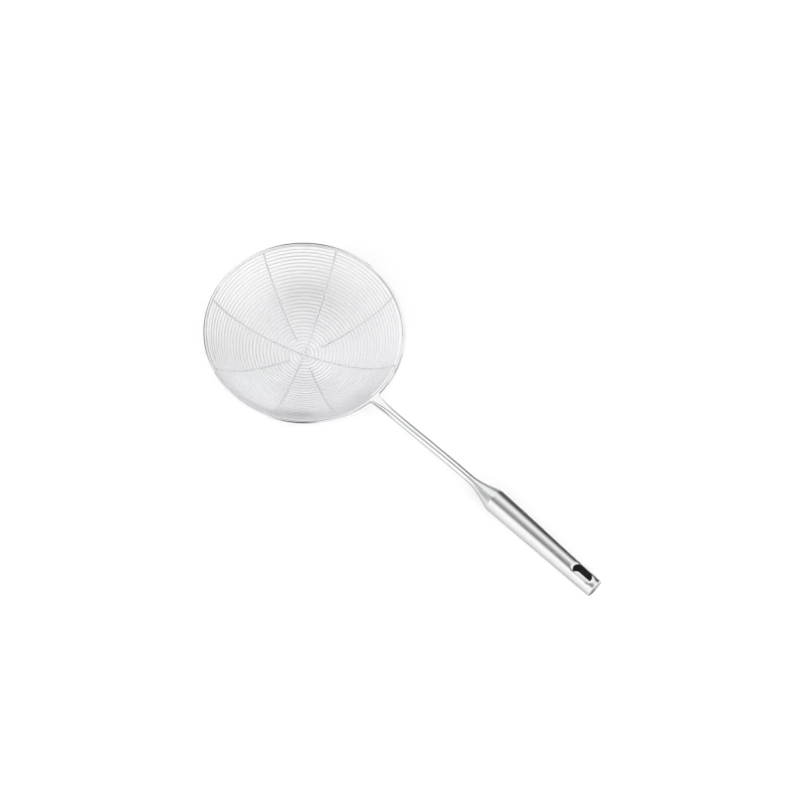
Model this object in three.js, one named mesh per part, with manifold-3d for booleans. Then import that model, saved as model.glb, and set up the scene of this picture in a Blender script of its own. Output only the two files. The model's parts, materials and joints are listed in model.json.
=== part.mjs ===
// Frying strainer: a bowl wound from one wire on a frame of ribs, with a rod stem and a hollow steel handle.
// Millimetres, +Z up, in the pose in which it rests on a table: on two ribs of the bowl and the butt.

import * as THREE from "three";
import { mergeVertices } from "three/addons/utils/BufferGeometryUtils.js";
import Module from "manifold-3d";

// Gap that is left between welded neighbours
const SEAM = 0.3;

// Rim
const RIM_DIAMETER = 160;
const RIM_WIRE = 3;
const RIM_STEPS = 72;
const RIM_SIDES = 10;

// Bowl, from the plane of the rim down to the middle of the wound wire
const BOWL_DEPTH = 43;
const MESH_WIRE = 1;
const MESH_TURNS = 24;
const MESH_EYE_RADIUS = 2.5;
const MESH_STEPS_PER_TURN = 24;
const MESH_SIDES = 6;

// Frame wires under the bowl, two that cross and short ones between their arms, by bearing from the handle
// Each cross wire is listed by the bearings of its two arms
const RIB_WIRE = 1.2;
const LOWER_CROSS_DEGREES = [24.6, 207.7];
const UPPER_CROSS_DEGREES = [118.1, 297.4];
const SHORT_RIB_DEGREES = [71, 163.3, 253.6, 336.5];
const SHORT_RIB_START_RADIUS = 14;
const CROSSING_REACH = 14;
const RIB_STEPS = 18;
const RIB_SIDES = 8;

// Stem: a rod with a flattened foot at the rim and a thinner spigot in the handle's neck
const STEM_DIAMETER = 6.4;
const STEM_LENGTH = 101.8;
const STEM_RISE_DEGREES = 11.6;
const FOOT_WIDTH = 9;
const FOOT_LENGTH = 28;
const FOOT_FLARE_POWER = 2.2;
const FOOT_RISE_DEGREES = 5.7;
const SPIGOT_LENGTH = 12;
const FOOT_STEPS = 8;
const STEM_STEPS = 12;
const STEM_SIDES = 16;

// Handle
const HANDLE_RISE_DEGREES = 8.7;
const NECK_LENGTH = 27.2;
const NECK_LIP = 0.6;
const NECK_WAIST_LENGTH = 12;
const SHOULDER_EASE_LENGTH = 7.3;
const SHOULDER_EASE_DEGREES = 12.5;
const NECK_STEPS = 10;
const GRIP_LENGTH = 97.7;
const SHOULDER_DIAMETER = 18;
const BUTT_DIAMETER = 14.3;
const HANDLE_WALL = 0.8;
const HANDLE_SIDES = 36;

// Hanging slot, measured from the face of the butt
const SLOT_LENGTH = 15.8;
const SLOT_WIDTH = 7.6;
const SLOT_FROM_BUTT = 5;
const SLOT_ARC_STEPS = 9;

// Cap that closes the butt
const CAP_THICKNESS = 2;
const CAP_ROUNDING = 0.8;
const CAP_SPIGOT_LENGTH = 1.4;
const CAP_ROUNDING_STEPS = 4;

// Stainless steel: drawn wire, polished rim and stem, finely brushed handle
const WIRE_STEEL = { color: 0xd4d6d8, roughness: 0.25, metalness: 1 };
const RIM_STEEL = { color: 0xdcdee0, roughness: 0.2, metalness: 1 };
const HANDLE_STEEL = { color: 0xe2e3e5, roughness: 0.25, metalness: 1 };

// Rounds of tipping and rolling that bring the strainer to rest on the table
const SETTLING_PASSES = 60;

const wasm = await Module();
wasm.setup();

const radians = THREE.MathUtils.degToRad;

// Values that follow from the sizes above
const rimRadius = RIM_WIRE / 2;
const rimCentreRadius = RIM_DIAMETER / 2 - rimRadius;
const meshRadius = MESH_WIRE / 2;
const ribRadius = RIB_WIRE / 2;
const stemRadius = STEM_DIAMETER / 2;
const meshEdgeRadius = rimCentreRadius - rimRadius - SEAM - meshRadius;
const meshSphere = (meshEdgeRadius ** 2 + BOWL_DEPTH ** 2) / (2 * BOWL_DEPTH);
const sphereHeight = meshSphere - BOWL_DEPTH;
const ribSphere = meshSphere + meshRadius + SEAM + ribRadius;
const spigotRadius = stemRadius - NECK_LIP - SEAM;
const shoulderRadius = SHOULDER_DIAMETER / 2;
const buttRadius = BUTT_DIAMETER / 2;
const shellLength = NECK_LENGTH + GRIP_LENGTH - CAP_THICKNESS - SEAM;

function piece(name, geometry, finish) {
  const mesh = new THREE.Mesh(geometry, new THREE.MeshStandardMaterial(finish));
  mesh.name = name;
  return mesh;
}

// Closes a row of rings of points, each with the same count, into one tube with flat ends
function skin(rings) {
  const sides = rings[0].length;
  const positions = rings.flat().flatMap((point) => point.toArray());
  const triangles = [];
  for (let ring = 0; ring + 1 < rings.length; ring += 1) {
    for (let side = 0; side < sides; side += 1) {
      const next = (side + 1) % sides;
      const a = ring * sides + side;
      const b = ring * sides + next;
      triangles.push(a, b, b + sides);
      triangles.push(a, b + sides, a + sides);
    }
  }
  const last = (rings.length - 1) * sides;
  for (let side = 1; side + 1 < sides; side += 1) {
    triangles.push(0, side + 1, side);
    triangles.push(last, last + side, last + side + 1);
  }
  const geometry = new THREE.BufferGeometry();
  geometry.setAttribute("position", new THREE.Float32BufferAttribute(positions, 3));
  geometry.setIndex(triangles);
  geometry.computeVertexNormals();
  return geometry;
}

// One ring of an elliptical section: up and across, to its right, are unit vectors square to the tube
function ring(centre, across, up, halfWidth, halfHeight, sides) {
  const points = [];
  for (let side = 0; side < sides; side += 1) {
    const angle = (2 * Math.PI * side) / sides;
    const point = centre.clone();
    point.addScaledVector(up, halfHeight * Math.cos(angle));
    point.addScaledVector(across, halfWidth * Math.sin(angle));
    points.push(point);
  }
  return points;
}

// Round wire along a list of points, with one vertex of each ring along the normal that belongs to the point
function wire(points, normals, radius, sides) {
  const rings = points.map((point, index) => {
    const before = points[Math.max(index - 1, 0)];
    const after = points[Math.min(index + 1, points.length - 1)];
    const along = after.clone().sub(before).normalize();
    const across = along.clone().cross(normals[index]).normalize();
    const up = across.clone().cross(along);
    return ring(point, across, up, radius, radius, sides);
  });
  return skin(rings);
}

function solid(geometry) {
  const bare = geometry.clone();
  bare.deleteAttribute("normal");
  bare.deleteAttribute("uv");
  const merged = mergeVertices(bare);
  const vertProperties = new Float32Array(merged.attributes.position.array);
  const triVerts = new Uint32Array(merged.index.array);
  return new wasm.Manifold(new wasm.Mesh({ numProp: 3, vertProperties, triVerts }));
}

function geometryOf(body) {
  const mesh = body.getMesh();
  const geometry = new THREE.BufferGeometry();
  geometry.setAttribute("position", new THREE.Float32BufferAttribute(mesh.vertProperties, 3));
  geometry.setIndex(Array.from(mesh.triVerts));
  geometry.computeVertexNormals();
  return geometry;
}

// Rim, and the same ring thickened by the seam, which trims what is welded to it
const rimGeometry = new THREE.TorusGeometry(rimCentreRadius, rimRadius, RIM_SIDES, RIM_STEPS);
const rimClearance = solid(new THREE.TorusGeometry(rimCentreRadius, rimRadius + SEAM, RIM_SIDES, RIM_STEPS));

function trimmedAtRim(geometry) {
  return geometryOf(solid(geometry).subtract(rimClearance));
}

// Point on a sphere round the bowl's own centre of curvature, at a tilt from straight down and a bearing
function bowlPoint(sphere, tilt, bearing) {
  const level = sphere * Math.sin(tilt);
  const height = sphereHeight - sphere * Math.cos(tilt);
  return new THREE.Vector3(level * Math.cos(bearing), level * Math.sin(bearing), height);
}

function bowlNormal(tilt, bearing) {
  return bowlPoint(1, tilt, bearing).sub(new THREE.Vector3(0, 0, sphereHeight));
}

// Spiral: even pitch along the bowl's surface
const meshStartTilt = Math.asin(MESH_EYE_RADIUS / meshSphere);
const meshEndTilt = Math.acos(sphereHeight / meshSphere);
const meshPoints = [];
const meshNormals = [];
for (let step = 0; step <= MESH_TURNS * MESH_STEPS_PER_TURN; step += 1) {
  const share = step / (MESH_TURNS * MESH_STEPS_PER_TURN);
  const tilt = THREE.MathUtils.lerp(meshStartTilt, meshEndTilt, share);
  const bearing = (2 * Math.PI * step) / MESH_STEPS_PER_TURN;
  meshPoints.push(bowlPoint(meshSphere, tilt, bearing));
  meshNormals.push(bowlNormal(tilt, bearing));
}

function leastGapBetweenTurns(points, diameter) {
  let least = Infinity;
  const apart = MESH_STEPS_PER_TURN / 2;
  for (let a = 0; a < points.length; a += 1) {
    for (let b = a + apart; b < points.length; b += 1) {
      least = Math.min(least, points[a].distanceTo(points[b]) - diameter);
    }
  }
  return least;
}
const leastGap = leastGapBetweenTurns(meshPoints, MESH_WIRE);
console.log(`least gap between turns of the spiral: ${leastGap.toFixed(2)} mm`);

// Frame wires: meridians of the bowl, trimmed where they meet the rim
const ribEndTilt = Math.acos(sphereHeight / ribSphere);

function ribAlong(startTilt, steps, degrees, backDegrees, dip) {
  const points = [];
  const normals = [];
  for (let step = 0; step <= steps; step += 1) {
    const tilt = THREE.MathUtils.lerp(startTilt, ribEndTilt, step / steps);
    const bearing = radians(tilt < 0 ? backDegrees - 180 : degrees);
    const nearness = Math.max(0, 1 - Math.abs(ribSphere * tilt) / CROSSING_REACH);
    const sphere = ribSphere + dip * THREE.MathUtils.smoothstep(nearness, 0, 1);
    points.push(bowlPoint(sphere, tilt, bearing));
    normals.push(bowlNormal(tilt, bearing));
  }
  return trimmedAtRim(wire(points, normals, ribRadius, RIB_SIDES));
}

const crossingDip = RIB_WIRE + SEAM;
const crossWireLower = ribAlong(-ribEndTilt, 2 * RIB_STEPS, ...LOWER_CROSS_DEGREES, crossingDip);
const crossWireUpper = ribAlong(-ribEndTilt, 2 * RIB_STEPS, ...UPPER_CROSS_DEGREES, 0);
const shortRibStart = Math.asin(SHORT_RIB_START_RADIUS / ribSphere);
const shortRibs = SHORT_RIB_DEGREES.map((degrees) => ribAlong(shortRibStart, RIB_STEPS, degrees, degrees, 0));

// Stem: leaves the rim low, climbs, and comes into line with the handle at its neck
function direction(riseDegrees) {
  const rise = radians(riseDegrees);
  return new THREE.Vector3(Math.cos(rise), 0, Math.sin(rise));
}

const stemStart = new THREE.Vector3(rimCentreRadius, 0, 0);
const neckMouth = stemStart.clone().addScaledVector(direction(STEM_RISE_DEGREES), STEM_LENGTH);
const stemLine = new THREE.CubicBezierCurve3(
  stemStart,
  stemStart.clone().addScaledVector(direction(FOOT_RISE_DEGREES), STEM_LENGTH / 3),
  neckMouth.clone().addScaledVector(direction(HANDLE_RISE_DEGREES), -STEM_LENGTH / 3),
  neckMouth,
);
const sideways = new THREE.Vector3(0, -1, 0);

function stemRing(centre, along, halfWidth, halfHeight) {
  const up = sideways.clone().cross(along);
  return ring(centre, sideways, up.normalize(), halfWidth, halfHeight, STEM_SIDES);
}

const stemRings = [];
for (let step = 0; step <= FOOT_STEPS + STEM_STEPS; step += 1) {
  const past = Math.max(0, step - FOOT_STEPS) / STEM_STEPS;
  const distance = FOOT_LENGTH * Math.min(1, step / FOOT_STEPS) + (STEM_LENGTH - FOOT_LENGTH) * past;
  const flare = Math.max(0, 1 - distance / FOOT_LENGTH) ** FOOT_FLARE_POWER;
  const halfWidth = THREE.MathUtils.lerp(stemRadius, FOOT_WIDTH / 2, flare);
  const halfHeight = THREE.MathUtils.lerp(stemRadius, rimRadius, flare);
  const share = distance / STEM_LENGTH;
  stemRings.push(stemRing(stemLine.getPointAt(share), stemLine.getTangentAt(share), halfWidth, halfHeight));
}
const handleDirection = direction(HANDLE_RISE_DEGREES);
const spigotEnd = neckMouth.clone().addScaledVector(handleDirection, SPIGOT_LENGTH);
stemRings.push(stemRing(neckMouth, handleDirection, spigotRadius, spigotRadius));
stemRings.push(stemRing(spigotEnd, handleDirection, spigotRadius, spigotRadius));
const stemGeometry = trimmedAtRim(skin(stemRings));

// Handle shell: a curved outline for the neck and a straight taper for the grip, turned round its own axis
const shoulderEase = SHOULDER_EASE_LENGTH * Math.tan(radians(SHOULDER_EASE_DEGREES));
const neckCurve = new THREE.CubicBezierCurve(
  new THREE.Vector2(stemRadius, 0),
  new THREE.Vector2(stemRadius, NECK_WAIST_LENGTH),
  new THREE.Vector2(shoulderRadius - shoulderEase, NECK_LENGTH - SHOULDER_EASE_LENGTH),
  new THREE.Vector2(shoulderRadius, NECK_LENGTH),
);

function gripRadius(distance) {
  const share = (distance - NECK_LENGTH) / GRIP_LENGTH;
  return THREE.MathUtils.lerp(shoulderRadius, buttRadius, share);
}

const shellEndRadius = gripRadius(shellLength);
const outerOutline = neckCurve.getPoints(NECK_STEPS);
outerOutline.push(new THREE.Vector2(shellEndRadius, shellLength));
const boreRadius = spigotRadius + SEAM;
const innerOutline = outerOutline.map((point) => {
  return new THREE.Vector2(Math.max(boreRadius, point.x - HANDLE_WALL), point.y);
});
const shellOutline = [...outerOutline, ...innerOutline.reverse(), outerOutline[0]];
const shellLathe = new THREE.LatheGeometry(shellOutline, HANDLE_SIDES);
shellLathe.rotateZ(-Math.PI / 2);

const slotEndRadius = SLOT_WIDTH / 2;
const slotStraight = SLOT_LENGTH / 2 - slotEndRadius;
const slotMiddle = NECK_LENGTH + GRIP_LENGTH - SLOT_FROM_BUTT - SLOT_LENGTH / 2;
const slotShape = new THREE.Shape();
slotShape.absarc(slotStraight, 0, slotEndRadius, -Math.PI / 2, Math.PI / 2, false);
slotShape.absarc(-slotStraight, 0, slotEndRadius, Math.PI / 2, (3 * Math.PI) / 2, false);
const slotDepth = 2 * SHOULDER_DIAMETER;
const slotCut = new THREE.ExtrudeGeometry(slotShape, {
  depth: slotDepth,
  bevelEnabled: false,
  curveSegments: SLOT_ARC_STEPS,
});
slotCut.translate(slotMiddle, 0, -slotDepth / 2);
const shellGeometry = geometryOf(solid(shellLathe).subtract(solid(slotCut)));

// End cap: a disc with a rounded edge, and a spigot that centres it in the shell
const capFace = NECK_LENGTH + GRIP_LENGTH;
const capSeat = capFace - CAP_THICKNESS;
const capSpigotRadius = shellEndRadius - HANDLE_WALL - SEAM;
const capOutline = [
  new THREE.Vector2(0, capSeat - CAP_SPIGOT_LENGTH),
  new THREE.Vector2(capSpigotRadius, capSeat - CAP_SPIGOT_LENGTH),
  new THREE.Vector2(capSpigotRadius, capSeat),
  new THREE.Vector2(shellEndRadius, capSeat),
];
for (let step = 0; step <= CAP_ROUNDING_STEPS; step += 1) {
  const angle = ((Math.PI / 2) * step) / CAP_ROUNDING_STEPS;
  const radius = buttRadius - CAP_ROUNDING + CAP_ROUNDING * Math.cos(angle);
  capOutline.push(new THREE.Vector2(radius, capFace - CAP_ROUNDING + CAP_ROUNDING * Math.sin(angle)));
}
capOutline.push(new THREE.Vector2(0, capFace));
const capGeometry = new THREE.LatheGeometry(capOutline, HANDLE_SIDES);
capGeometry.rotateZ(-Math.PI / 2);

// Assembly, with the rim level
const bowl = new THREE.Group();
bowl.add(piece("rim_ring", rimGeometry, RIM_STEEL));
const meshGeometry = wire(meshPoints, meshNormals, meshRadius, MESH_SIDES);
bowl.add(piece("mesh_spiral", meshGeometry, WIRE_STEEL));
bowl.add(piece("cross_wire_upper", crossWireUpper, WIRE_STEEL));
// It rests on the two ribs beside the handle: an arm of the lower cross wire and the last short rib
const leftFoot = piece("cross_wire_lower", crossWireLower, WIRE_STEEL);
bowl.add(leftFoot);
const ribPieces = shortRibs.map((geometry, index) => {
  return piece(`short_rib_${index + 1}`, geometry, WIRE_STEEL);
});
bowl.add(...ribPieces);
const rightFoot = ribPieces[ribPieces.length - 1];
bowl.add(piece("stem_rod", stemGeometry, RIM_STEEL));

const handle = new THREE.Group();
handle.add(piece("handle_shell", shellGeometry, HANDLE_STEEL));
const butt = piece("handle_end_cap", capGeometry, HANDLE_STEEL);
handle.add(butt);
handle.rotation.y = -radians(HANDLE_RISE_DEGREES);
handle.position.copy(neckMouth).addScaledVector(handleDirection, SEAM);

const strainer = new THREE.Group();
strainer.name = "frying_strainer";
strainer.add(bowl, handle);

// Resting pose: tip and roll it until both feet of the bowl and the butt are level, then set it on the table
function box(object) {
  return new THREE.Box3().setFromObject(object, true);
}

for (let pass = 0; pass < SETTLING_PASSES; pass += 1) {
  strainer.updateMatrixWorld(true);
  const left = box(leftFoot).min.z;
  const right = box(rightFoot).min.z;
  const reach = neckMouth.x + NECK_LENGTH + GRIP_LENGTH;
  strainer.rotation.y -= (Math.min(left, right) - box(butt).min.z) / reach;
  strainer.rotation.x += (right - left) / RIM_DIAMETER;
}
strainer.updateMatrixWorld(true);
const whole = box(strainer);
const middle = whole.getCenter(new THREE.Vector3());
strainer.position.set(-middle.x, -middle.y, -whole.min.z);

export default strainer;
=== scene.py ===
import json
import math

import bmesh
import bpy
import numpy as np
from mathutils import Matrix, Vector


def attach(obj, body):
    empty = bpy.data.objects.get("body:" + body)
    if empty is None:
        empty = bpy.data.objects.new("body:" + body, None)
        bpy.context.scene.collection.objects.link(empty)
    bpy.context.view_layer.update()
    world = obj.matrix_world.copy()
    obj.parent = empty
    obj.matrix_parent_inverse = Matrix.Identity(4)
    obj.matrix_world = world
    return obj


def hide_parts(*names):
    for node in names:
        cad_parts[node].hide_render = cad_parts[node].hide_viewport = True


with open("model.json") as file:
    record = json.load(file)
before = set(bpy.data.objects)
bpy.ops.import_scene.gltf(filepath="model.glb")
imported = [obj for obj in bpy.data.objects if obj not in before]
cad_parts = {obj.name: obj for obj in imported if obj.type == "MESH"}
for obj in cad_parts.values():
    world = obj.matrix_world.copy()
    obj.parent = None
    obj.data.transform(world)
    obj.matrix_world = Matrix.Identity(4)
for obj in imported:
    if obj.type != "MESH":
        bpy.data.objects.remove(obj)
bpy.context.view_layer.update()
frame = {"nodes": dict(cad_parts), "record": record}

# Rim: one stainless wire, 3 mm thick, rolled to a ring and butt-welded shut.
# It edges the bowl, and the ribs, the wound wire and the stem are all welded to it.
# It is tumbled bright after welding, so it mirrors the room softly.
MM = 0.001
RIM_RADIUS = 78.5 * MM
RIM_WIRE = 3 * MM
RIM_SIDES = 20
RIM_STEPS = 180
CREASE_ANGLE = math.radians(35)
WELD_REACH = 0.01 * MM

# The bowl's place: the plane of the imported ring, with X towards the butt of the handle.
mounts = {mount["name"]: mount for mount in frame["record"]["mounts"]}
butt_middle = Vector(mounts["butt_face"]["pos_m"])
ring_points = np.array([vertex.co for vertex in frame["nodes"]["rim_ring"].data.vertices])
ring_middle = ring_points.mean(0)
bowl_up = Vector(np.linalg.svd(ring_points - ring_middle, full_matrices=False)[2][2])
bowl_up *= math.copysign(1, bowl_up.z)
bowl_ahead = butt_middle - Vector(ring_middle)
bowl_ahead = (bowl_ahead - bowl_ahead.dot(bowl_up) * bowl_up).normalized()
bowl_side = bowl_up.cross(bowl_ahead)
bowl_place = Matrix((bowl_ahead, bowl_side, bowl_up)).transposed().to_4x4()
bowl_place.translation = Vector(ring_middle)


def section_circle(sides, radius, location, rotation):
    """Starts a piece from the outline of its section, which is left selected in edit mode."""
    bpy.ops.object.select_all(action="DESELECT")
    bpy.ops.mesh.primitive_circle_add(vertices=sides, radius=radius, location=location, rotation=rotation)
    bpy.ops.object.transform_apply()
    bpy.ops.object.mode_set(mode="EDIT")
    bpy.ops.mesh.select_all(action="SELECT")
    return bpy.context.object


def close_up(piece):
    """Welds doubled points, closes open ends, points the faces outwards and leaves edit mode."""
    bpy.ops.mesh.select_all(action="SELECT")
    bpy.ops.mesh.remove_doubles(threshold=WELD_REACH)
    bpy.ops.mesh.fill_holes(sides=0)
    bpy.ops.mesh.select_all(action="SELECT")
    bpy.ops.mesh.normals_make_consistent(inside=False)
    bpy.ops.object.mode_set(mode="OBJECT")
    return piece


def set_in_place(piece, name, place, *finishes):
    """Names a piece, moves its mesh to its place, smooths it and adds its finishes."""
    bpy.ops.object.select_all(action="DESELECT")
    piece.select_set(True)
    bpy.context.view_layer.objects.active = piece
    piece.name = name
    piece.data.name = name
    piece.matrix_world = place
    bpy.ops.object.transform_apply()
    bpy.ops.object.shade_smooth_by_angle(angle=CREASE_ANGLE)
    for finish in finishes:
        piece.data.materials.append(finish)
    return piece


def linear(hex_colour):
    """sRGB hex value to the linear colour that a shader takes."""
    parts = [int(hex_colour[i : i + 2], 16) / 255 for i in (1, 3, 5)]
    return [p / 12.92 if p <= 0.04045 else ((p + 0.055) / 1.055) ** 2.4 for p in parts] + [1]


def add_node(tree, kind, inputs, **settings):
    """Adds a node with its settings; an input is a value or another node's output to link."""
    made = tree.nodes.new(kind)
    for name, value in settings.items():
        setattr(made, name, value)
    for name, value in inputs.items():
        if isinstance(value, bpy.types.NodeSocket):
            tree.links.new(value, made.inputs[name])
        else:
            made.inputs[name].default_value = value
    return made


def new_material(name):
    """An empty material: its node tree and its shader."""
    material = bpy.data.materials.new(name)
    material.use_nodes = True
    return material, material.node_tree, material.node_tree.nodes["Principled BSDF"]


# Bright-drawn stainless wire, tumbled after welding. The eye sees a soft mirror whose sharpness wanders a
# little, with faint dull patches a few millimetres long where the tumbling media touched less.
bright_wire, tree, shader = new_material("bright_stainless_wire")
coords = add_node(tree, "ShaderNodeTexCoord", {})
patches = add_node(
    tree, "ShaderNodeTexNoise", {"Vector": coords.outputs["Object"], "Scale": 1 / (6 * MM), "Detail": 3.0}
)
dulling = add_node(
    tree,
    "ShaderNodeMapRange",
    {"Value": patches.outputs["Fac"], "From Min": 0.3, "From Max": 0.7, "To Min": 0.07, "To Max": 0.14},
)
tones = add_node(tree, "ShaderNodeValToRGB", {"Fac": patches.outputs["Fac"]})
tones.color_ramp.elements[0].position = 0.3
tones.color_ramp.elements[0].color = linear("#ECECEE")
tones.color_ramp.elements[1].position = 0.7
tones.color_ramp.elements[1].color = linear("#F4F4F6")
tree.links.new(tones.outputs["Color"], shader.inputs["Base Color"])
tree.links.new(dulling.outputs["Result"], shader.inputs["Roughness"])
shader.inputs["Metallic"].default_value = 1

rim = section_circle(RIM_SIDES, RIM_WIRE / 2, (RIM_RADIUS, 0, 0), (math.pi / 2, 0, 0))
bpy.ops.mesh.spin(steps=RIM_STEPS, angle=2 * math.pi, center=(0, 0, 0), axis=(0, 0, 1))
close_up(rim)
set_in_place(rim, "rim_wire", bowl_place, bright_wire)
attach(rim, "root")
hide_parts("rim_ring")

# Ribs: eight arms of 1.2 mm stainless wire under the bowl. Two wires run from rim to rim and cross in the
# middle, one dipping under the other, and four short ones stop before it. Each is bent to the bowl's round
# and spot-welded to the rim, where its end is buried, and to every turn of the wound wire above it.
BOWL_CENTRE = Vector((0, 0, 46.017 * MM))
RIB_WIRE = 1.2 * MM
RIB_SIDES = 12
RIB_ROUND = 90.2 * MM
RIB_END_TILT = math.acos(BOWL_CENTRE.z / RIB_ROUND)
SHORT_RIB_START = 14 * MM
SHORT_RIB_TILT = math.asin(SHORT_RIB_START / RIB_ROUND)
RIB_STEP = math.radians(1.6)
CROSSING_DIP = 1.5 * MM
CROSSING_REACH = 14 * MM
LOWER_CROSS_BEARINGS = (24.6, 207.7)
UPPER_CROSS_BEARINGS = (118.1, 297.4)
SHORT_RIB_BEARINGS = (71, 163.3, 253.6, 336.5)


def bent_rib(name, start_tilt, bearing, back_bearing, dip):
    """A round wire spun about the bowl's centre up to the rim; behind the middle it has its own bearing."""
    start = BOWL_CENTRE + RIB_ROUND * Vector((math.sin(start_tilt), 0, -math.cos(start_tilt)))
    rib = section_circle(RIB_SIDES, RIB_WIRE / 2, start, (0, math.pi / 2 - start_tilt, 0))
    turn = RIB_END_TILT - start_tilt
    bpy.ops.mesh.spin(steps=round(turn / RIB_STEP), angle=turn, center=BOWL_CENTRE, axis=(0, 1, 0))
    close_up(rib)
    back_turn = Matrix.Rotation(math.radians(back_bearing - 180 - bearing), 3, "Z")
    for vertex in rib.data.vertices:
        nearness = max(0, 1 - abs(vertex.co.x) / CROSSING_REACH)
        vertex.co.z -= dip * nearness * nearness * (3 - 2 * nearness)
        if vertex.co.x < 0:
            vertex.co = back_turn @ vertex.co
    return set_in_place(rib, name, bowl_place @ Matrix.Rotation(math.radians(bearing), 4, "Z"), bright_wire)


lower_cross = bent_rib("cross_rib_lower", -RIB_END_TILT, *LOWER_CROSS_BEARINGS, CROSSING_DIP)
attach(lower_cross, "root")
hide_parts("cross_wire_lower")

upper_cross = bent_rib("cross_rib_upper", -RIB_END_TILT, *UPPER_CROSS_BEARINGS, 0)
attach(upper_cross, "root")
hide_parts("cross_wire_upper")

for number, bearing in enumerate(SHORT_RIB_BEARINGS, 1):
    short_rib = bent_rib(f"short_rib_wire_{number}", SHORT_RIB_TILT, bearing, bearing + 180, 0)
    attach(short_rib, "root")
    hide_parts(f"short_rib_{number}")

# Bowl: one stainless wire, 1 mm thick, wound as a dished spiral of even turns on top of the ribs.
# It starts in an eye over the crossing and ends in a weld against the inside of the rim.
MESH_WIRE = 1 * MM
MESH_ROUND = 89.017 * MM
MESH_TURNS = 29
MESH_STEPS_PER_TURN = 90
MESH_SIDE_STEPS = 3
MESH_EYE = 1.8 * MM
MESH_EYE_TILT = math.asin(MESH_EYE / MESH_ROUND)
MESH_END_TILT = math.acos(BOWL_CENTRE.z / MESH_ROUND)
MESH_TUCK_STEPS = 6
MESH_TUCK = 0.5 * MM

wound_line = bpy.data.curves.new("wound_line", "CURVE")
wound_line.dimensions = "3D"
wound_line.bevel_depth = MESH_WIRE / 2
wound_line.bevel_resolution = MESH_SIDE_STEPS
wound_line.use_fill_caps = True
turns = wound_line.splines.new("POLY")
last_step = MESH_TURNS * MESH_STEPS_PER_TURN
turns.points.add(last_step)
for step in range(last_step + 1):
    tilt = MESH_EYE_TILT + (MESH_END_TILT - MESH_EYE_TILT) * step / last_step
    bearing = 2 * math.pi * step / MESH_STEPS_PER_TURN
    tuck = MESH_TUCK * max(0, 1 - (last_step - step) / MESH_TUCK_STEPS)
    level = MESH_ROUND * math.sin(tilt) + tuck
    height = BOWL_CENTRE.z - MESH_ROUND * math.cos(tilt)
    turns.points[step].co = (level * math.cos(bearing), level * math.sin(bearing), height, 1)
bowl = bpy.data.objects.new("wound_bowl", wound_line)
bpy.context.scene.collection.objects.link(bowl)
bpy.ops.object.select_all(action="DESELECT")
bowl.select_set(True)
bpy.context.view_layer.objects.active = bowl
bpy.ops.object.convert(target="MESH")
bpy.ops.object.mode_set(mode="EDIT")
close_up(bowl)

# Drawn stainless wire, left as it came off the die. The eye sees an even, silky pale grey without sharp
# reflections; the grain of the drawing is under 0.02 mm and is drawn as clouds of 3 mm, to show at all.
drawn_wire, tree, shader = new_material("drawn_stainless_wire")
coords = add_node(tree, "ShaderNodeTexCoord", {})
clouds = add_node(
    tree, "ShaderNodeTexNoise", {"Vector": coords.outputs["Object"], "Scale": 1 / (3 * MM), "Detail": 2.0}
)
dulling = add_node(
    tree,
    "ShaderNodeMapRange",
    {"Value": clouds.outputs["Fac"], "From Min": 0.3, "From Max": 0.7, "To Min": 0.36, "To Max": 0.5},
)
tones = add_node(tree, "ShaderNodeValToRGB", {"Fac": clouds.outputs["Fac"]})
tones.color_ramp.elements[0].position = 0.3
tones.color_ramp.elements[0].color = linear("#F1F1F5")
tones.color_ramp.elements[1].position = 0.7
tones.color_ramp.elements[1].color = linear("#F8F8FB")
tree.links.new(tones.outputs["Color"], shader.inputs["Base Color"])
tree.links.new(dulling.outputs["Result"], shader.inputs["Roughness"])
shader.inputs["Metallic"].default_value = 1

set_in_place(bowl, "wound_bowl", bowl_place, drawn_wire)
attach(bowl, "root")
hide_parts("mesh_spiral")

# Stem: a stainless rod, 6.4 mm thick, that climbs from the rim to the handle. Its foot is pressed flat and
# wide and welded to the outside of the rim with a small fillet on both sides; its other end is plugged into
# the neck.
STEM_RADIUS = 3.2 * MM
STEM_LENGTH = 101.8 * MM
STEM_RISE = math.radians(11.6)
FOOT_RISE = math.radians(5.7)
NECK_RISE = math.radians(8.7)
FOOT_HALF_WIDTH = 4.5 * MM
FOOT_LENGTH = 28 * MM
FOOT_FLARE_POWER = 2.2
FOOT_PRESSING_POWER = 3.5
FOOT_SQUARENESS = 3
FOOT_STEPS = 40
FOOT_CROWDING = 1.7
WELD_FILLET = 1.6 * MM
STEM_STEPS = 20
STEM_SIDES = 48
SEAM_OVERLAP = 0.5 * MM
PLUG_LENGTH = 8 * MM
PLUG_RADIUS = 2.55 * MM


def draw_out(stations):
    """Extrudes the selected ring along X through stations of x, height, half width and half thickness."""
    for before, after in zip(stations, stations[1:]):
        move = (after[0] - before[0], 0, after[1] - before[1])
        bpy.ops.mesh.extrude_region_move(TRANSFORM_OT_translate={"value": move})
        middle = (after[0], 0, after[1])
        growth = (1, after[2] / before[2], after[3] / before[3])
        bpy.ops.transform.resize(value=growth, center_override=middle)


def bezier(points, share):
    """Point at a share of the way along a cubic curve through four handles."""
    back = 1 - share
    weights = (back**3, 3 * back**2 * share, 3 * back * share**2, share**3)
    return sum((weight * Vector(point) for weight, point in zip(weights, points)), Vector((0, 0)))


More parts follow.
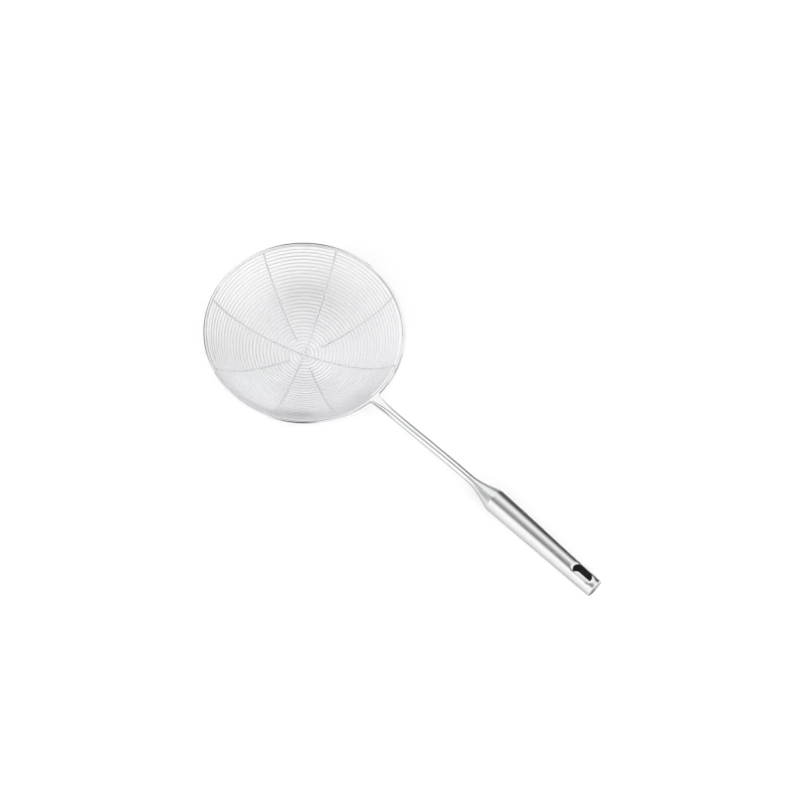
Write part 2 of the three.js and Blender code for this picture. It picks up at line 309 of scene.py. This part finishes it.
stem_start = Vector((RIM_RADIUS, 0))
neck_mouth = stem_start + STEM_LENGTH * Vector((math.cos(STEM_RISE), math.sin(STEM_RISE)))
stem_line = (
    stem_start,
    stem_start + STEM_LENGTH / 3 * Vector((math.cos(FOOT_RISE), math.sin(FOOT_RISE))),
    neck_mouth - STEM_LENGTH / 3 * Vector((math.cos(NECK_RISE), math.sin(NECK_RISE))),
    neck_mouth,
)
foot_share = FOOT_LENGTH / STEM_LENGTH
shares = [foot_share * (step / FOOT_STEPS) ** FOOT_CROWDING for step in range(FOOT_STEPS)]
shares += [foot_share + (1 - foot_share) * step / STEM_STEPS for step in range(STEM_STEPS + 1)]
stem_stations = []
for share in shares:
    flare = max(0, 1 - share / foot_share) ** FOOT_FLARE_POWER
    along, height = bezier(stem_line, share)
    to_fillet_end = min(max(0, RIM_RADIUS + RIM_WIRE / 2 + WELD_FILLET - along), WELD_FILLET)
    fillet = WELD_FILLET - math.sqrt(WELD_FILLET**2 - to_fillet_end**2)
    half_width = STEM_RADIUS + (FOOT_HALF_WIDTH - STEM_RADIUS) * flare + fillet
    pressing = max(0, 1 - share / foot_share) ** FOOT_PRESSING_POWER
    half_thickness = STEM_RADIUS + (RIM_WIRE / 2 - STEM_RADIUS) * pressing
    stem_stations.append((along, height, half_width, half_thickness))
seam_end = neck_mouth + SEAM_OVERLAP * Vector((math.cos(NECK_RISE), math.sin(NECK_RISE)))
plug_end = seam_end + PLUG_LENGTH * Vector((math.cos(NECK_RISE), math.sin(NECK_RISE)))
stem_stations.append((*seam_end, STEM_RADIUS, STEM_RADIUS))
stem_stations.append((*seam_end, PLUG_RADIUS, PLUG_RADIUS))
stem_stations.append((*plug_end, PLUG_RADIUS, PLUG_RADIUS))
stem = section_circle(STEM_SIDES, 1, (stem_start.x, 0, stem_start.y), (0, math.pi / 2, 0))
bpy.ops.transform.resize(
    value=(1, stem_stations[0][2], stem_stations[0][3]), center_override=(stem_start.x, 0, stem_start.y)
)
draw_out(stem_stations)
close_up(stem)


def squared(offset, half, squareness):
    """Moves a point of a round section out towards the section's corners."""
    return half * math.copysign(min(1, abs(offset / half)) ** (2 / (2 + squareness)), offset)


last_of_foot = stem_stations[FOOT_STEPS - 1][0]
for vertex in stem.data.vertices:
    station = min(stem_stations, key=lambda place: abs(place[0] - vertex.co.x))
    if station[0] <= last_of_foot:
        along, height, half_width, half_thickness = station
        squareness = FOOT_SQUARENESS * (STEM_RADIUS - half_thickness) / (STEM_RADIUS - RIM_WIRE / 2)
        vertex.co.y = squared(vertex.co.y, half_width, squareness)
        vertex.co.z = height + squared(vertex.co.z - height, half_thickness, squareness)

# Stainless rod, belt-polished lengthwise. The eye sees long sharp reflections with faint streaks along the
# rod. The real polishing lines are under 0.05 mm apart, so they are drawn ten times coarser, to show at all.
polished_rod, tree, shader = new_material("belt_polished_stainless_rod")
coords = add_node(tree, "ShaderNodeTexCoord", {})
along_rod = add_node(
    tree,
    "ShaderNodeMapping",
    {"Vector": coords.outputs["Object"], "Scale": (1 / (40 * MM), 1 / (0.5 * MM), 1 / (0.5 * MM))},
)
streaks = add_node(
    tree, "ShaderNodeTexNoise", {"Vector": along_rod.outputs["Vector"], "Scale": 1.0, "Detail": 2.0}
)
dulling = add_node(
    tree,
    "ShaderNodeMapRange",
    {"Value": streaks.outputs["Fac"], "From Min": 0.3, "From Max": 0.7, "To Min": 0.07, "To Max": 0.14},
)
tones = add_node(tree, "ShaderNodeValToRGB", {"Fac": streaks.outputs["Fac"]})
tones.color_ramp.elements[0].position = 0.3
tones.color_ramp.elements[0].color = linear("#F1F2F3")
tones.color_ramp.elements[1].position = 0.7
tones.color_ramp.elements[1].color = linear("#F9F9FA")
tree.links.new(tones.outputs["Color"], shader.inputs["Base Color"])
tree.links.new(dulling.outputs["Result"], shader.inputs["Roughness"])
shader.inputs["Metallic"].default_value = 1

set_in_place(stem, "stem_rod_polished", bowl_place, polished_rod)
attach(stem, "root")
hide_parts("stem_rod")

# Handle: a thin stainless tube, drawn in to a neck that grips the stem, with a crisp shoulder and a straight
# taper to the butt. A hanging slot is punched through both walls near the butt, its ends pressed inwards.
# Outside it is belt-polished and finely brushed lengthwise; inside it is painted near black, as painted shade
# of the unlit hollow.
HANDLE_LENGTH = 124.9 * MM
NECK_LENGTH = 27.2 * MM
NECK_OUTLINE = ((0, 3.2), (12, 3.2), (19.9, 7.382), (27.2, 9))
NECK_STEPS = 26
SHOULDER_RADIUS = 9 * MM
BUTT_RADIUS = 7.15 * MM
SHOULDER_SOFTENING = 0.3 * MM
NECK_END_SLOPE = 0.222
GRIP_STEPS = 9
SHELL_END = 122.75 * MM
SHELL_WALL = 0.7 * MM
SHELL_SIDES = 96
SLOT_HALF_WIDTH = 3.8 * MM
SLOT_START = 104.1 * MM
SLOT_END = 119.9 * MM
WINDOW_START = 101.1 * MM
WINDOW_END = 122.5 * MM
WINDOW_ROWS = 22
WINDOW_HALF_ANGLE = math.radians(60)
SLOT_RINGS = (0.85, 0.7, 0.56, 0.43, 0.32, 0.22, 0.14, 0.07, 0.025, 0)
PRESSED_REACH = 2.6 * MM
PRESSED_DEPTH = 0.9 * MM

handle_along = Vector(mounts["butt_face"]["axis"]).normalized()
slot_up = Vector(mounts["hanging_slot"]["axis"])
slot_up = (slot_up - slot_up.dot(handle_along) * handle_along).normalized()
handle_place = Matrix((handle_along, slot_up.cross(handle_along), slot_up)).transposed().to_4x4()
handle_place.translation = butt_middle - HANDLE_LENGTH * handle_along


def grip_radius(along):
    """Radius of the straight taper at a distance from the neck's mouth."""
    share = (along - NECK_LENGTH) / (HANDLE_LENGTH - NECK_LENGTH)
    return SHOULDER_RADIUS + (BUTT_RADIUS - SHOULDER_RADIUS) * share


# Stainless tube, belt-polished and then finely brushed lengthwise. The eye sees soft lengthwise bands of
# the room and thin pale streaks. Real brush lines are about 0.05 mm apart and are drawn at 0.6 mm, to show.
brushed_tube, tree, shader = new_material("brushed_stainless_tube")
coords = add_node(tree, "ShaderNodeTexCoord", {})
along_tube = add_node(
    tree,
    "ShaderNodeMapping",
    {
        "Vector": coords.outputs["Object"],
        "Rotation": (0, math.asin(handle_along.z), 0),
        "Scale": (1 / (45 * MM), 1 / (0.6 * MM), 1 / (0.6 * MM)),
    },
)
streaks = add_node(
    tree, "ShaderNodeTexNoise", {"Vector": along_tube.outputs["Vector"], "Scale": 1.0, "Detail": 3.0}
)
smudges = add_node(
    tree, "ShaderNodeTexNoise", {"Vector": coords.outputs["Object"], "Scale": 1 / (18 * MM), "Detail": 2.0}
)
uneven = add_node(
    tree,
    "ShaderNodeMix",
    {"Factor": 0.35, "A": streaks.outputs["Fac"], "B": smudges.outputs["Fac"]},
    data_type="FLOAT",
)
dulling = add_node(
    tree,
    "ShaderNodeMapRange",
    {"Value": uneven.outputs["Result"], "From Min": 0.3, "From Max": 0.7, "To Min": 0.17, "To Max": 0.29},
)
tones = add_node(tree, "ShaderNodeValToRGB", {"Fac": uneven.outputs["Result"]})
tones.color_ramp.elements[0].position = 0.3
tones.color_ramp.elements[0].color = linear("#E7E8E9")
tones.color_ramp.elements[1].position = 0.7
tones.color_ramp.elements[1].color = linear("#F2F2F3")
scratches = add_node(
    tree, "ShaderNodeBump", {"Height": streaks.outputs["Fac"], "Strength": 0.12, "Distance": 0.02 * MM}
)
tree.links.new(tones.outputs["Color"], shader.inputs["Base Color"])
tree.links.new(dulling.outputs["Result"], shader.inputs["Roughness"])
tree.links.new(scratches.outputs["Normal"], shader.inputs["Normal"])
shader.inputs["Metallic"].default_value = 1

# Inside the tube: painted shade for the unlit hollow, a dull, nearly black colour that takes up what little
# light comes in.
hollow_painted_shade, tree, shader = new_material("hollow_painted_shade")
coords = add_node(tree, "ShaderNodeTexCoord", {})
shade_mottling = add_node(
    tree, "ShaderNodeTexNoise", {"Vector": coords.outputs["Object"], "Scale": 1 / (2.5 * MM), "Detail": 3.0}
)
tones = add_node(tree, "ShaderNodeValToRGB", {"Fac": shade_mottling.outputs["Fac"]})
tones.color_ramp.elements[0].position = 0.35
tones.color_ramp.elements[0].color = linear("#141414")
tones.color_ramp.elements[1].position = 0.7
tones.color_ramp.elements[1].color = linear("#262626")
tree.links.new(tones.outputs["Color"], shader.inputs["Base Color"])
shader.inputs["Roughness"].default_value = 0.75
shader.inputs["Specular IOR Level"].default_value = 0.2

shell_outline = []
for step in range(NECK_STEPS):
    along, radius = MM * bezier(NECK_OUTLINE, step / NECK_STEPS)
    shell_outline.append((along, radius))
before_shoulder = SHOULDER_RADIUS - NECK_END_SLOPE * SHOULDER_SOFTENING
shell_outline.append((NECK_LENGTH - SHOULDER_SOFTENING, before_shoulder))
for along in (NECK_LENGTH + SHOULDER_SOFTENING, NECK_LENGTH + 2 * SHOULDER_SOFTENING):
    shell_outline.append((along, grip_radius(along)))
for step in range(1, GRIP_STEPS + 1):
    along = NECK_LENGTH + (WINDOW_START - NECK_LENGTH) * step / GRIP_STEPS
    shell_outline.append((along, grip_radius(along)))
for step in range(1, WINDOW_ROWS + 1):
    along = WINDOW_START + (WINDOW_END - WINDOW_START) * step / WINDOW_ROWS
    shell_outline.append((along, grip_radius(along)))
shell_outline.append((SHELL_END, grip_radius(SHELL_END)))

shell = section_circle(SHELL_SIDES, shell_outline[0][1], (0, 0, 0), (0, math.pi / 2, 0))
draw_out([(along, 0, radius, radius) for along, radius in shell_outline])
bpy.ops.mesh.select_all(action="SELECT")
bpy.ops.mesh.normals_make_consistent(inside=False)


def press_slot(side):
    """Opens a window in the shell's top or bottom and draws its edge in to the slot, its ends pressed in."""
    work = bmesh.from_edit_mesh(shell.data)
    bpy.ops.mesh.select_all(action="DESELECT")
    for face in work.faces:
        middle = face.calc_center_median()
        turned = abs(math.atan2(middle.y, side * middle.z))
        face.select = WINDOW_START < middle.x < WINDOW_END and turned < WINDOW_HALF_ANGLE
    window_edges = [edge for edge in work.edges if sum(face.select for face in edge.link_faces) == 1]
    bmesh.ops.delete(work, geom=[face for face in work.faces if face.select], context="FACES")
    loose = [vertex for vertex in work.verts if not vertex.link_faces]
    bmesh.ops.delete(work, geom=loose, context="VERTS")
    share_before = 1
    for share in SLOT_RINGS:
        window_edges = [edge for edge in window_edges if edge.is_valid]
        grown = bmesh.ops.extrude_edge_only(work, edges=window_edges)["geom"]
        for vertex in (item for item in grown if isinstance(item, bmesh.types.BMVert)):
            near_x = min(max(vertex.co.x, SLOT_START + SLOT_HALF_WIDTH), SLOT_END - SLOT_HALF_WIDTH)
            away = Vector((vertex.co.x - near_x, vertex.co.y))
            outside = (away.length - SLOT_HALF_WIDTH) * share / share_before
            away.normalize()
            along, across = Vector((near_x, 0)) + away * (SLOT_HALF_WIDTH + outside)
            radius = grip_radius(along)
            rise = math.sqrt(radius * radius - across * across)
            pressed = PRESSED_DEPTH * max(0, 1 - outside / PRESSED_REACH) ** 2 * away.x**2
            vertex.co = (along, across, side * (rise - pressed))
        share_before = share
        window_edges = [item for item in grown if isinstance(item, bmesh.types.BMEdge)]
    bmesh.update_edit_mesh(shell.data)


press_slot(1)
press_slot(-1)
bpy.ops.mesh.select_all(action="SELECT")
bpy.ops.mesh.normals_make_consistent(inside=False)
bpy.ops.object.mode_set(mode="OBJECT")
shell.data.materials.append(brushed_tube)
shell.data.materials.append(hollow_painted_shade)
wall = shell.modifiers.new("wall", "SOLIDIFY")
wall.thickness = SHELL_WALL
wall.offset = -1
wall.material_offset = 1
wall.material_offset_rim = 1
bpy.ops.object.modifier_apply(modifier="wall")

set_in_place(shell, "handle_tube", handle_place)
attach(shell, "root")
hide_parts("handle_shell")

# End cap: a stainless disc, welded into the butt. Its edge is rounded over and polished flush with the tube,
# and its face is left as it was ground, in a darker grey that is painted shade.
CAP_ROUNDING = 0.8 * MM
CAP_ROUNDING_STEPS = 8
CAP_FACE_LAND = 0.4 * MM
CAP_FACE_COSINE = 0.99

cap_stations = [(SHELL_END, grip_radius(SHELL_END))]
cap_stations.append((HANDLE_LENGTH - CAP_ROUNDING, BUTT_RADIUS))
for step in range(1, CAP_ROUNDING_STEPS + 1):
    turn = math.pi / 2 * step / CAP_ROUNDING_STEPS
    along = HANDLE_LENGTH - CAP_ROUNDING + CAP_ROUNDING * math.sin(turn)
    cap_stations.append((along, BUTT_RADIUS - CAP_ROUNDING + CAP_ROUNDING * math.cos(turn)))
cap_stations.append((HANDLE_LENGTH, BUTT_RADIUS - CAP_ROUNDING - CAP_FACE_LAND))
cap = section_circle(SHELL_SIDES, cap_stations[0][1], (SHELL_END, 0, 0), (0, math.pi / 2, 0))
draw_out([(along, 0, radius, radius) for along, radius in cap_stations])
close_up(cap)

# Stainless disc, ground on its face and left duller than the tube. The eye sees an even mid grey with a
# faint cloud of grinding marks, which are about 0.1 mm apart and are drawn at 0.8 mm, to show. The mid grey
# is
# painted shade: it stands in for the shaded floor by the butt that the face mirrors.
ground_disc_painted_shade, tree, shader = new_material("ground_stainless_disc_painted_shade")
coords = add_node(tree, "ShaderNodeTexCoord", {})
marks = add_node(
    tree, "ShaderNodeTexNoise", {"Vector": coords.outputs["Object"], "Scale": 1 / (0.8 * MM), "Detail": 3.0}
)
dulling = add_node(
    tree,
    "ShaderNodeMapRange",
    {"Value": marks.outputs["Fac"], "From Min": 0.3, "From Max": 0.7, "To Min": 0.34, "To Max": 0.46},
)
tones = add_node(tree, "ShaderNodeValToRGB", {"Fac": marks.outputs["Fac"]})
tones.color_ramp.elements[0].position = 0.3
tones.color_ramp.elements[0].color = linear("#A4A5A6")
tones.color_ramp.elements[1].position = 0.7
tones.color_ramp.elements[1].color = linear("#B4B5B6")
tree.links.new(tones.outputs["Color"], shader.inputs["Base Color"])
tree.links.new(dulling.outputs["Result"], shader.inputs["Roughness"])
shader.inputs["Metallic"].default_value = 1

set_in_place(cap, "butt_cap", handle_place, brushed_tube, ground_disc_painted_shade)
for face in cap.data.polygons:
    face.material_index = int(face.normal.dot(handle_along) > CAP_FACE_COSINE)
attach(cap, "root")
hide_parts("handle_end_cap")

# Floor: a wide white sweep. It glows a little for the eye and for the metal, so that it reads as white, and
# it takes a soft shadow from the room and the lamp on top of that glow.
FLOOR_HALF = 6
FLOOR_GLOW = 0.15
FLOOR_PAPER = (0.8, 0.8, 0.8, 1)
WHITE = (1, 1, 1, 1)
bpy.ops.object.select_all(action="DESELECT")
bpy.ops.mesh.primitive_plane_add(size=2 * FLOOR_HALF)
floor = bpy.context.object
floor.name = "floor"
white_sweep = bpy.data.materials.new("white_paper_sweep")
white_sweep.use_nodes = True
tree = white_sweep.node_tree
tree.nodes.clear()
rays = add_node(tree, "ShaderNodeLightPath", {})
level = add_node(
    tree,
    "ShaderNodeMapRange",
    {"Value": rays.outputs["Is Diffuse Ray"], "To Min": FLOOR_GLOW, "To Max": 0.0},
)
glow = add_node(tree, "ShaderNodeEmission", {"Color": WHITE, "Strength": level.outputs["Result"]})
paper = add_node(tree, "ShaderNodeBsdfDiffuse", {"Color": FLOOR_PAPER})
both = add_node(tree, "ShaderNodeAddShader", {0: glow.outputs[0], 1: paper.outputs[0]})
add_node(tree, "ShaderNodeOutputMaterial", {"Surface": both.outputs[0]})
floor.data.materials.append(white_sweep)

# Studio: an even white room, which lights the floor less than the metal, a wide lamp below the camera that
# lights only the floor, a low softbox on the left, and toned cards that only reflections see.
ROOM_LIGHT_ON_FLOOR = 0.12
world = bpy.data.worlds.new("white_room")
bpy.context.scene.world = world
world.use_nodes = True
tree = world.node_tree
rays = add_node(tree, "ShaderNodeLightPath", {})
room_level = add_node(
    tree,
    "ShaderNodeMapRange",
    {"Value": rays.outputs["Is Diffuse Ray"], "To Min": 1.0, "To Max": ROOM_LIGHT_ON_FLOOR},
)
tree.nodes["Background"].inputs["Color"].default_value = WHITE
tree.links.new(room_level.outputs["Result"], tree.nodes["Background"].inputs["Strength"])

card_tones = bpy.data.materials.new("card_tones")
card_tones.use_nodes = True
tree = card_tones.node_tree
tree.nodes.clear()
tone = add_node(tree, "ShaderNodeAttribute", {}, attribute_name="tone")
glow = add_node(tree, "ShaderNodeEmission", {"Color": tone.outputs["Color"], "Strength": 1.0})
add_node(tree, "ShaderNodeOutputMaterial", {"Surface": glow.outputs[0]})


def toned_card(name, rows):
    """A card that only reflections see, from rows of points: x, y, z and the tone that it has there."""
    points = [point for row in rows for point in row]
    wide = len(rows[0])
    corners = [row * wide + step for row in range(len(rows) - 1) for step in range(wide - 1)]
    mesh = bpy.data.meshes.new(name)
    faces = [(corner, corner + 1, corner + wide + 1, corner + wide) for corner in corners]
    mesh.from_pydata([point[:3] for point in points], [], faces)
    tones = mesh.color_attributes.new("tone", "FLOAT_COLOR", "POINT")
    for item, point in zip(tones.data, points):
        item.color = (point[3], point[3], point[3], 1)
    mesh.materials.append(card_tones)
    card = bpy.data.objects.new(name, mesh)
    bpy.context.scene.collection.objects.link(card)
    card.visible_camera = False
    card.visible_diffuse = False
    card.visible_shadow = False


def faded(tone, fade):
    """A tone that is taken a share of the way to white."""
    return tone + (1 - tone) * fade


# Behind: a dark sweep up from the floor, by how far back, how high and its tone. It fades round to the left,
# by bearing, fade and share of the height.
BACK_SEEN_FROM = 0.1
BACK_SWEEP = (
    (0.03, 0.001, 0.55),
    (0.045, 0.001, 0.4),
    (0.07, 0.001, 0.22),
    (0.12, 0.001, 0.1),
    (0.3, 0.001, 0.06),
    (0.8, 0.001, 0.07),
    (0.8, 0.2, 0.07),
    (0.8, 0.32, 0.09),
    (0.8, 0.46, 0.22),
    (0.8, 0.64, 0.5),
    (0.8, 0.85, 0.82),
    (0.8, 1.1, 1.0),
)
BACK_FADE_ROUND = (
    (142, 1.0, 0.7),
    (130, 0.36, 0.74),
    (116, 0.08, 0.88),
    (104, 0, 1),
    (80, 0, 1),
    (55, 0, 1),
)
toned_card(
    "back_card",
    [
        [
            (BACK_SEEN_FROM + back / math.tan(math.radians(bearing)), back, high * share, faded(tone, fade))
            for bearing, fade, share in BACK_FADE_ROUND
        ]
        for back, high, tone in BACK_SWEEP
    ],
)
# Overhead: a strip along the handle, soft at both edges, by distance across and tone. It narrows over the
# stem and the bowl, by distance along, fade and share of the width.
TOP_HEIGHT = 0.3
TOP_MIDDLE = -0.138
TOP_FADE_ACROSS = (
    (0.096, 1.0),
    (0.038, 0.62),
    (-0.046, 0.32),
    (-0.092, 0.2),
    (-0.138, 0.17),
    (-0.177, 0.27),
    (-0.219, 0.55),
    (-0.276, 0.85),
    (-0.338, 1.0),
)
TOP_PLACES = (
    (-0.26, 1.0, 0.4),
    (-0.2, 0.1, 0.42),
    (-0.12, 0.06, 0.5),
    (-0.04, 0.08, 0.65),
    (0.09, 0.08, 0.97),
    (0.2, 0, 1),
    (0.3, 1.0, 1),
)
toned_card(
    "top_card",
    [
        [
            (x, TOP_MIDDLE + (y - TOP_MIDDLE) * share, TOP_HEIGHT, faded(tone, fade))
            for x, fade, share in TOP_PLACES
        ]
        for y, tone in TOP_FADE_ACROSS
    ],
)
# Under the handle: painted shadow, a card that puts the floor's own shade into the handle's reflections. Its
# columns are the places along the handle, with the radius there, the height of the axis and the share of
# light;
# its rows are the angles down from the flank to the floor.
UNDER_LIFT = 0.0008
FLANK_ACROSS = 0.85
FLANK_DROP = 0.3
UNDER_PLACES = (
    (0.192, 0.007, 0.0066, 0.9),
    (0.165, 0.0073, 0.009, 0.92),
    (0.1, 0.0085, 0.016, 1),
    (0.03, 0.003, 0.028, 1),
    (-0.05, 0.003, 0.044, 1),
)
UNDER_FADE = (
    (10, 1.0),
    (25, 0.86),
    (40, 0.78),
    (55, 0.68),
    (70, 0.56),
    (85, 0.4),
    (105, 0.32),
    (130, 0.38),
    (148, 0.42),
)


def below_flank(radius, height, angle):
    """How far across the floor is met from the handle's flank, looking down at an angle."""
    return -FLANK_ACROSS * radius - (height - FLANK_DROP * radius) / math.tan(math.radians(angle))


toned_card(
    "under_card",
    [
        [
            (x, below_flank(radius, height, angle), UNDER_LIFT, tone * share)
            for x, radius, height, share in UNDER_PLACES
        ]
        for angle, tone in UNDER_FADE
    ],
)
# On the left: a grey screen that the neck's flank sees, by bearing and fade, and by height and tone
SIDE_SEEN_FROM = 0.08
SIDE_DISTANCE = 0.7
SIDE_FADE_ROUND = ((186, 0.6), (196, 0), (214, 0), (227, 0.3), (238, 1.0))
SIDE_FADE_UP = ((0, 0.45), (0.2, 0.4), (0.42, 0.4), (0.65, 1.0))


def round_about(middle, radius, bearing, high):
    """A point at a bearing and a distance from a place on the part's long axis."""
    turn = math.radians(bearing)
    return (middle + radius * math.cos(turn), radius * math.sin(turn), high)


toned_card(
    "side_card",
    [
        [
            (*round_about(SIDE_SEEN_FROM, SIDE_DISTANCE, bearing, high), faded(tone, fade))
            for bearing, fade in SIDE_FADE_ROUND
        ]
        for high, tone in SIDE_FADE_UP
    ],
)
# Close round the rim, to edge it: low strips, dark beyond it and before it, grey on its left, and a white one
# on its right that hides the dark sweep behind the handle from it. Each has a slope, by radius, height and
# fade, and tones, by bearing.
SCREEN_MIDDLE = -0.1126
FAR_SLOPE = (
    (0.084, 0.001, 0.5),
    (0.088, 0.004, 0),
    (0.0885, 0.06, 0),
    (0.09, 0.084, 0),
    (0.0905, 0.09, 0.3),
    (0.091, 0.098, 1.0),
)
FAR_TONES = ((100, 1.0), (114, 0.6), (125, 0.03), (147, 0.03), (158, 0.6), (170, 1.0))
LEFT_SLOPE = (
    (0.084, 0.001, 0.5),
    (0.088, 0.004, 0),
    (0.0885, 0.06, 0),
    (0.0905, 0.07, 0.1),
    (0.0915, 0.078, 1.0),
)
LEFT_TONES = ((180, 1.0), (190, 0.6), (199, 0.28), (236, 0.28), (245, 0.7), (254, 1.0))
NEAR_SLOPE = (
    (0.08, 0.001, 0.8),
    (0.086, 0.001, 0.2),
    (0.0925, 0.003, 0),
    (0.095, 0.033, 0),
    (0.096, 0.043, 1.0),
)
NEAR_TONES = ((290, 1.0), (298, 0.4), (304, 0.02), (316, 0.02), (321, 0.5), (326, 1.0))
RIGHT_SLOPE = ((0.086, 0.001, 0), (0.092, 0.004, 0), (0.098, 0.05, 0), (0.106, 0.09, 0))
RIGHT_TONES = ((26, 0.5), (34, 0.7), (44, 0.95), (60, 1.0), (97, 1.0))
for name, slope, tones_round in (
    ("far_screen", FAR_SLOPE, FAR_TONES),
    ("left_screen", LEFT_SLOPE, LEFT_TONES),
    ("near_screen", NEAR_SLOPE, NEAR_TONES),
    ("right_screen", RIGHT_SLOPE, RIGHT_TONES),
):
    toned_card(
        name,
        [
            [
                (*round_about(SCREEN_MIDDLE, radius, bearing, high), faded(tone, fade))
                for bearing, tone in tones_round
            ]
            for radius, high, fade in slope
        ],
    )
# Beside the stem's foot, on the far side: a small dark card that gives the foot its edge line
FOOT_CARD_BESIDE = 0.019
FOOT_CARD_PLACES = ((-0.036, 0.6), (-0.026, 0.25), (-0.01, 0), (0.02, 0))
FOOT_CARD_UP = ((0.004, 0.6), (0.014, 0.3), (0.032, 0.3), (0.038, 1.0))
toned_card(
    "foot_card",
    [
        [(x, FOOT_CARD_BESIDE, high, faded(tone, fade)) for x, fade in FOOT_CARD_PLACES]
        for high, tone in FOOT_CARD_UP
    ],
)

# On the left, low: the softbox
SOFTBOX_WIDTH = 1.4
SOFTBOX_HEIGHT = 0.8
SOFTBOX_POWER = 0.5
SOFTBOX_PLACE = (0.05, -1.1, 0.6)
SOFTBOX_TILT = math.radians(61)
softbox = bpy.data.lights.new("softbox", "AREA")
softbox.shape = "RECTANGLE"
softbox.size = SOFTBOX_WIDTH
softbox.size_y = SOFTBOX_HEIGHT
softbox.energy = SOFTBOX_POWER
softbox_stand = bpy.data.objects.new("softbox", softbox)
softbox_stand.location = SOFTBOX_PLACE
softbox_stand.rotation_euler = (SOFTBOX_TILT, 0, 0)
bpy.context.scene.collection.objects.link(softbox_stand)

# Camera: the photograph's angle, a metre away, tipped a little to the right.
CAMERA_AIM = Vector((-0.02974, 0.0195, 0.00773))
CAMERA_DISTANCE = 1.0
CAMERA_AZIMUTH = math.radians(53.83)
CAMERA_ELEVATION = math.radians(55.37)
CAMERA_ROLL = math.radians(-9.86)
SENSOR_WIDTH = 36
FOCAL_LENGTH = 56.69
lens = bpy.data.cameras.new("camera")
lens.sensor_width = SENSOR_WIDTH
lens.lens = FOCAL_LENGTH
camera = bpy.data.objects.new("camera", lens)
turned = Matrix.Rotation(CAMERA_AZIMUTH, 4, "Z") @ Matrix.Rotation(math.pi / 2 - CAMERA_ELEVATION, 4, "X")
turned = turned @ Matrix.Rotation(CAMERA_ROLL, 4, "Z")
camera.matrix_world = Matrix.Translation(CAMERA_AIM) @ turned @ Matrix.Translation((0, 0, CAMERA_DISTANCE))
bpy.context.scene.collection.objects.link(camera)
bpy.context.scene.camera = camera

# The lamp below the camera, very wide: it lights the floor, and only the bowl's wires shade it, so that the
# floor is grey between them and white beside the handle.
FLOOR_LIGHT_ELEVATION = math.radians(39)
FLOOR_LIGHT_LEVEL = 4.95
FLOOR_LIGHT_SPREAD = math.radians(100)
floor_light = bpy.data.lights.new("floor_light", "SUN")
floor_light.energy = FLOOR_LIGHT_LEVEL
floor_light.angle = FLOOR_LIGHT_SPREAD
floor_light_stand = bpy.data.objects.new("floor_light", floor_light)
floor_light_stand.rotation_euler = (math.pi / 2 - FLOOR_LIGHT_ELEVATION, 0, CAMERA_AZIMUTH)
floor_light_stand.visible_glossy = False
bpy.context.scene.collection.objects.link(floor_light_stand)
shading_wires = bpy.data.collections.new("shading_wires")
shading_wires.objects.link(bowl)
floor_light_stand.light_linking.blocker_collection = shading_wires
bpy.context.scene.view_settings.view_transform = "Standard"
